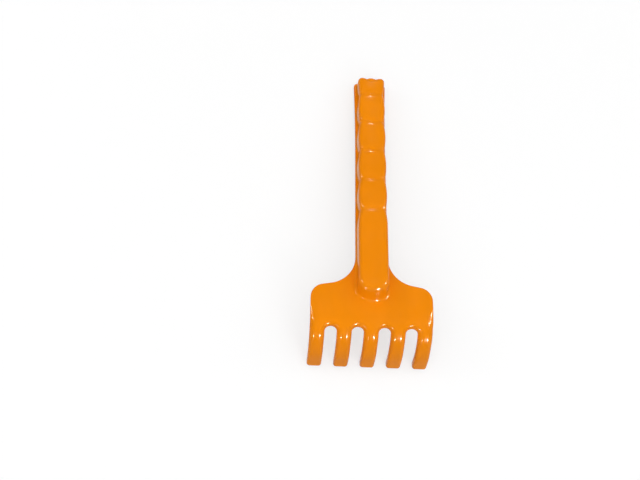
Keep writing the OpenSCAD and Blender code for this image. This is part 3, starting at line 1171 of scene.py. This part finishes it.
@dataclass
class CrossRibs(Piece):
    """Thin ribs across the hollow of the grip, one under each valley."""

    form: HandleForm = HandleForm()
    thickness: float = 1.6 * MM
    depth: float = 8.0 * MM
    arch: float = 2.5 * MM
    bite: float = 0.3 * MM
    edge: float = 0.3 * MM
    edge_segments: int = 3
    across_steps: int = 16

    def half_rib(self, bm: BMesh, y: float, tag: bmesh.types.BMLayerItem) -> None:
        """Lays the right half of one rib's face, from the wall to the middle.

        Args:
            bm: mesh that gets the face.
            y: place of the rib along the handle.
            tag: layer that marks the lower edge.
        """
        form = self.form
        ceiling = form.plate + form.rise_at(y) - form.wall
        half = form.half_width(y) - form.wall
        radius = (half ** 2 + self.arch ** 2) / (2 * self.arch)
        low, high = [], []
        for share in steps(0, 1, self.across_steps):
            x = half * (1 - share)
            lower = ceiling - self.depth + self.arch - radius + math.sqrt(radius ** 2 - x ** 2)
            upper = ceiling + form.top_crown * (1 - (1 - share) ** 2) + self.bite
            low.append(Vector((x, y - self.thickness / 2, lower)))
            high.append(Vector((x, y - self.thickness / 2, upper)))
        for vert in lay_net(bm, [low, high])[:len(low)]:
            vert[tag] = Ring.OUTLINE.value

    def build(self) -> None:
        """Lays each rib's face, draws it out, rounds its lower edge and places the ribs."""
        bm = bmesh.new()
        tag = bm.verts.layers.int.new("ring")
        for i in range(self.form.waves + 1):
            self.half_rib(bm, self.form.first_valley + i * self.form.wave, tag)
        mirror_half(bm)
        bmesh.ops.translate(bm, verts=draw_out(bm), vec=Vector((0, self.thickness, 0)))
        point_outwards(bm)
        lower = [edge for edge in bm.edges
                 if all(vert[tag] == Ring.OUTLINE.value for vert in edge.verts)
                 and abs(edge.verts[0].co.y - edge.verts[1].co.y) < MERGE]
        round_edges(bm, lower, self.edge, self.edge_segments)
        for face in bm.faces:
            face.material_index = Skin.CORE.value
        self.place(bm)


@dataclass(frozen=True)
class Patches:
    """Irregular patches: size, fineness, stretch along the axes, part of the noise, strength."""

    size: float
    detail: float
    stretch: Triple = (1, 1, 1)
    low: float = 0.3
    high: float = 0.7
    strength: float = 1.0


@dataclass(frozen=True)
class Nodes:
    """Node tree that is being filled."""

    tree: bpy.types.NodeTree

    def add(self, kind: str, inputs: dict[str | int, object], **settings: object) -> bpy.types.Node:
        """Adds a node.

        Args:
            kind: type of the node.
            inputs: by name or number, a value for each input or the socket that feeds it.
            settings: the node's own properties.

        Returns:
            The new node.
        """
        node = self.tree.nodes.new(kind)
        for name, value in settings.items():
            setattr(node, name, value)
        for name, value in inputs.items():
            if isinstance(value, Socket):
                self.tree.links.new(value, node.inputs[name])
            else:
                node.inputs[name].default_value = value
        return node

    def noise(self, patches: Patches) -> Socket:
        """Adds the noise of patches on the piece's own coordinates.

        Args:
            patches: patches to add, with their size in metres.

        Returns:
            Socket of the plain noise.
        """
        place = self.add("ShaderNodeTexCoord", {}).outputs["Object"]
        scale = [1 / part for part in patches.stretch]
        drawn = self.add("ShaderNodeMapping", {"Vector": place, "Scale": scale}).outputs[0]
        noise = self.add("ShaderNodeTexNoise", {"Vector": drawn, "Scale": 1 / patches.size,
                                                "Detail": patches.detail})
        return noise.outputs[0]

    def patches(self, patches: Patches) -> Socket:
        """Adds patches that go from 0 to their strength."""
        return self.band(self.noise(patches), patches.low, patches.high, 0, patches.strength)

    def band(self, value: Socket, low: float, high: float, first: float, last: float) -> Socket:
        """Adds a range: the value from low to high comes out from first to last, and no further."""
        band = self.add("ShaderNodeMapRange", {"Value": value, "From Min": low, "From Max": high,
                                               "To Min": first, "To Max": last})
        return band.outputs[0]

    def blend(self, share: Socket, first: object, last: object) -> Socket:
        """Adds a blend of two colours."""
        ends = {0: share, MIX_FIRST: first, MIX_LAST: last}
        return self.add("ShaderNodeMix", ends, data_type="RGBA").outputs[MIX_RESULT]


@dataclass(frozen=True)
class MouldedPlastic:
    """Coloured-through polypropylene with a moulding's flow lines, rubbed spots, grain and painted
    shade on tight edges.
    """

    name: str
    colour: Triple = (0.90, 0.26, 0.002)
    # Painted shade: a deeper orange laid on tight rounded edges, and how strongly it shows.
    painted_edge_shade_colour: Triple = (0.76, 0.195, 0.001)
    painted_edge_shade_from: float = 0.3
    painted_edge_shade_strength: float = 0.75
    ior: float = 1.22
    gleam_tint: Triple = (1.0, 0.85, 0.7)
    roughness: float = 0.12
    rubbed: float = 0.10
    flow: float = 0.035
    flow_lines: Patches = Patches(30 * MM, 4, (0.6, 1.8, 0.6))
    rubs: Patches = Patches(9 * MM, 5, low=0.4, high=0.75)
    scuffs: Patches = Patches(2.5 * MM, 2, (0.08, 6, 0.08), 0.66, 0.74, 0.8)
    grain: Patches = Patches(1.6 * MM, 2)
    grain_height: float = 0.006 * MM

    def shade(self, nodes: Nodes) -> Socket:
        """Colours the plastic, with faint flow lines along it and painted shade: a deeper tone on
        tight edges.

        Args:
            nodes: the material's tree.

        Returns:
            Socket of the colour.
        """
        deep, pale = ((*Vector(self.colour) * share, 1) for share in (1 - self.flow, 1 + self.flow))
        body = nodes.blend(nodes.patches(self.flow_lines), deep, pale)
        # Painted shade: the tighter an edge is rounded, the more of the deeper edge colour it
        # takes.
        edge = nodes.add("ShaderNodeAttribute", {}, attribute_name=EDGE).outputs["Fac"]
        tone = nodes.band(edge, self.painted_edge_shade_from, 1, 0, self.painted_edge_shade_strength)
        return nodes.blend(tone, body, (*self.painted_edge_shade_colour, 1))

    def gloss(self, nodes: Nodes) -> Socket:
        """Roughens the plastic in rubbed spots and along fine scuffs.

        Args:
            nodes: the material's tree.

        Returns:
            Socket of the roughness.
        """
        rubs, scuffs = nodes.patches(self.rubs), nodes.patches(self.scuffs)
        marks = nodes.add("ShaderNodeMath", {0: rubs, 1: scuffs}, operation="MAXIMUM").outputs[0]
        return nodes.band(marks, 0, 1, self.roughness, self.roughness + self.rubbed)

    def unevenness(self, nodes: Nodes) -> Socket:
        """Adds the fine grain of the moulded face as a bump."""
        height = {"Height": nodes.noise(self.grain), "Distance": self.grain_height}
        return nodes.add("ShaderNodeBump", height).outputs[0]

    def material(self) -> bpy.types.Material:
        """Makes the finish.

        Returns:
            The new material.
        """
        made = bpy.data.materials.new(self.name)
        made.use_nodes = True
        nodes = Nodes(made.node_tree)
        shader = made.node_tree.nodes["Principled BSDF"]
        feeds = {"Base Color": self.shade, "Roughness": self.gloss, "Normal": self.unevenness}
        for name, feed in feeds.items():
            made.node_tree.links.new(feed(nodes), shader.inputs[name])
        shader.inputs["IOR"].default_value = self.ior
        shader.inputs["Specular Tint"].default_value = (*self.gleam_tint, 1)
        return made


@dataclass(frozen=True)
class Lamp:
    """Soft lamp that faces the rake from a direction; a gleam shows in reflections alone."""

    name: str
    towards: Triple
    level: float
    width: float
    height: float
    distance: float = 1.2
    shape: str = "ELLIPSE"
    gleam: bool = False

    def place(self) -> None:
        """Sets up the lamp; its level is the brightness of a white card that faces it."""
        data = bpy.data.lights.new(self.name, "AREA")
        data.shape = self.shape
        data.size, data.size_y = self.width, self.height
        data.energy = 4 * math.pi * self.distance ** 2 * self.level
        lamp = bpy.data.objects.new(self.name, data)
        lamp.location = Vector(self.towards).normalized() * self.distance
        lamp.rotation_euler = lamp.location.to_track_quat("Z", "Y").to_euler()
        lamp.visible_camera = False
        lamp.visible_diffuse = not self.gleam
        bpy.context.scene.collection.objects.link(lamp)


@dataclass
class Studio:
    """Pale floor, white room, soft lamps and the camera."""

    eye: Triple = (-84.11 * MM, -189.49 * MM, 606.80 * MM)
    aim: Triple = (-37.70 * MM, -18.71 * MM, 0)
    turn: float = math.radians(1.491)
    lens: float = 45.0
    sensor: float = 36.0
    floor_half: float = 3.0
    floor_shade: float = 0.25
    floor_glow: float = 0.65
    low_fill: float = 0.2
    high_fill: float = 1.16
    wall_top: float = 0.1
    sky_from: float = 0.45
    sky: float = 0.1
    lamps: tuple[Lamp, ...] = (
        Lamp("key_right", (0.44, -0.73, 0.52), 0.10, 0.5, 0.5),
        Lamp("key_left", (-0.50, -0.76, 0.41), 0.04, 0.5, 0.5),
        Lamp("gleam_right", (0.31, -0.73, 0.60), 2.2, 0.06, 0.06, gleam=True),
        Lamp("gleam_left", (-0.42, -0.75, 0.51), 0.8, 0.06, 0.06, gleam=True),
        Lamp("high_right", (0.60, 0.14, 0.78), 1.5, 0.06, 0.36, gleam=True),
        Lamp("high_left", (-0.60, 0.14, 0.78), 0.5, 0.06, 0.36, gleam=True),
        Lamp("side_left", (-0.84, 0.24, 0.48), 0.08, 0.2, 0.35, 1.3, "RECTANGLE"),
        Lamp("side_right", (0.84, 0.24, 0.48), 0.05, 0.2, 0.35, 1.3, "RECTANGLE"),
        Lamp("back", (0.08, 0.79, 0.60), 0.12, 0.05, 0.05, 1.3, gleam=True),
    )

    def camera(self) -> None:
        """Sets up the camera at the photograph's viewing angle."""
        data = bpy.data.cameras.new("camera")
        data.lens, data.sensor_width = self.lens, self.sensor
        back = (Vector(self.eye) - Vector(self.aim)).normalized()
        up = Vector((-math.sin(self.turn), math.cos(self.turn), 0))
        across = up.cross(back).normalized()
        upright = back.cross(across)
        camera = bpy.data.objects.new("camera", data)
        camera.matrix_world = Matrix((across, upright, back)).transposed().to_4x4()
        camera.location = self.eye
        bpy.context.scene.collection.objects.link(camera)
        bpy.context.scene.camera = camera

    @staticmethod
    def split(nodes: Nodes, lights: bpy.types.Node, shows: bpy.types.Node, output: str) -> None:
        """Sends rays that see the background to one shader, and the rest to another.

        Args:
            nodes: tree of the floor's material or the world.
            lights: shader for the light that goes from there to the rake.
            shows: shader for the camera, a gloss and a clear piece.
            output: name of the tree's output node.
        """
        path = nodes.add("ShaderNodeLightPath", {})
        seen = path.outputs["Is Camera Ray"]
        for ray in ("Is Glossy Ray", "Is Transmission Ray"):
            either = {0: seen, 1: path.outputs[ray]}
            seen = nodes.add("ShaderNodeMath", either, operation="MAXIMUM").outputs[0]
        choice = nodes.add("ShaderNodeMixShader", {0: seen, 1: lights.outputs[0],
                                                   2: shows.outputs[0]})
        nodes.tree.links.new(choice.outputs[0], nodes.tree.nodes[output].inputs["Surface"])

    def floor(self) -> None:
        """Lays the pale floor, which shows white and keeps the rake's shadow."""
        bm = bmesh.new()
        bmesh.ops.create_grid(bm, x_segments=1, y_segments=1, size=self.floor_half)
        mesh = bpy.data.meshes.new("floor")
        bm.to_mesh(mesh)
        bm.free()
        floor = bpy.data.objects.new("floor", mesh)
        bpy.context.scene.collection.objects.link(floor)
        made = bpy.data.materials.new("pale_floor")
        made.use_nodes = True
        made.node_tree.nodes.remove(made.node_tree.nodes["Principled BSDF"])
        nodes = Nodes(made.node_tree)
        plain = nodes.add("ShaderNodeBsdfDiffuse", {"Color": grey(self.floor_shade)})
        lit = nodes.add("ShaderNodeBsdfDiffuse", {"Color": grey(1 - self.floor_glow)})
        glow = nodes.add("ShaderNodeEmission", {"Strength": self.floor_glow})
        white = nodes.add("ShaderNodeAddShader", {0: lit.outputs[0], 1: glow.outputs[0]})
        self.split(nodes, plain, white, "Material Output")
        mesh.materials.append(made)

    def room(self) -> None:
        """Sets up the world: an even fill, brighter from above, and walls that show white."""
        world = bpy.data.worlds.new("studio")
        world.use_nodes = True
        world.node_tree.nodes.remove(world.node_tree.nodes["Background"])
        nodes = Nodes(world.node_tree)
        way = nodes.add("ShaderNodeTexCoord", {}).outputs["Generated"]
        up = nodes.add("ShaderNodeSeparateXYZ", {0: way}).outputs["Z"]
        levels = (nodes.band(up, 0, 1, self.low_fill, self.high_fill),
                  nodes.band(up, self.wall_top, self.sky_from, 1, self.sky))
        fill, walls = (nodes.add("ShaderNodeBackground", {"Color": grey(1), "Strength": level})
                       for level in levels)
        self.split(nodes, fill, walls, "World Output")
        bpy.context.scene.world = world

    def build(self) -> None:
        """Builds the studio."""
        self.floor()
        self.room()
        for lamp in self.lamps:
            lamp.place()
        self.camera()


def main() -> None:
    """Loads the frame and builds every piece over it."""
    logging.basicConfig(level=logging.INFO, format="%(name)s %(message)s")
    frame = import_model()
    stance = Stance.from_record(frame["record"], RIM_MOUNT, Vector(RIM_SEAT))
    cavity = MouldedPlastic("orange_gloss").material()
    core = MouldedPlastic("orange_core", roughness=0.36, rubbed=0.14, grain=Patches(0.5 * MM, 2),
                          grain_height=0.01 * MM).material()
    grip = Grip("grip", stance)
    pieces: list[Piece] = [grip, Shank("shank", stance), HandleRim("handle_rim", stance, grip=grip),
                           HeadPlate("head_plate", stance), CrossRibs("cross_ribs", stance)]
    pieces += [Tine(name, stance, index=i) for i, name in enumerate(TINES)]
    for piece in pieces:
        piece.build()
        piece.dress(cavity, core)
    Studio().build()
    bpy.context.scene.view_settings.view_transform = "Standard"


if __name__ == "__main__":
    main()
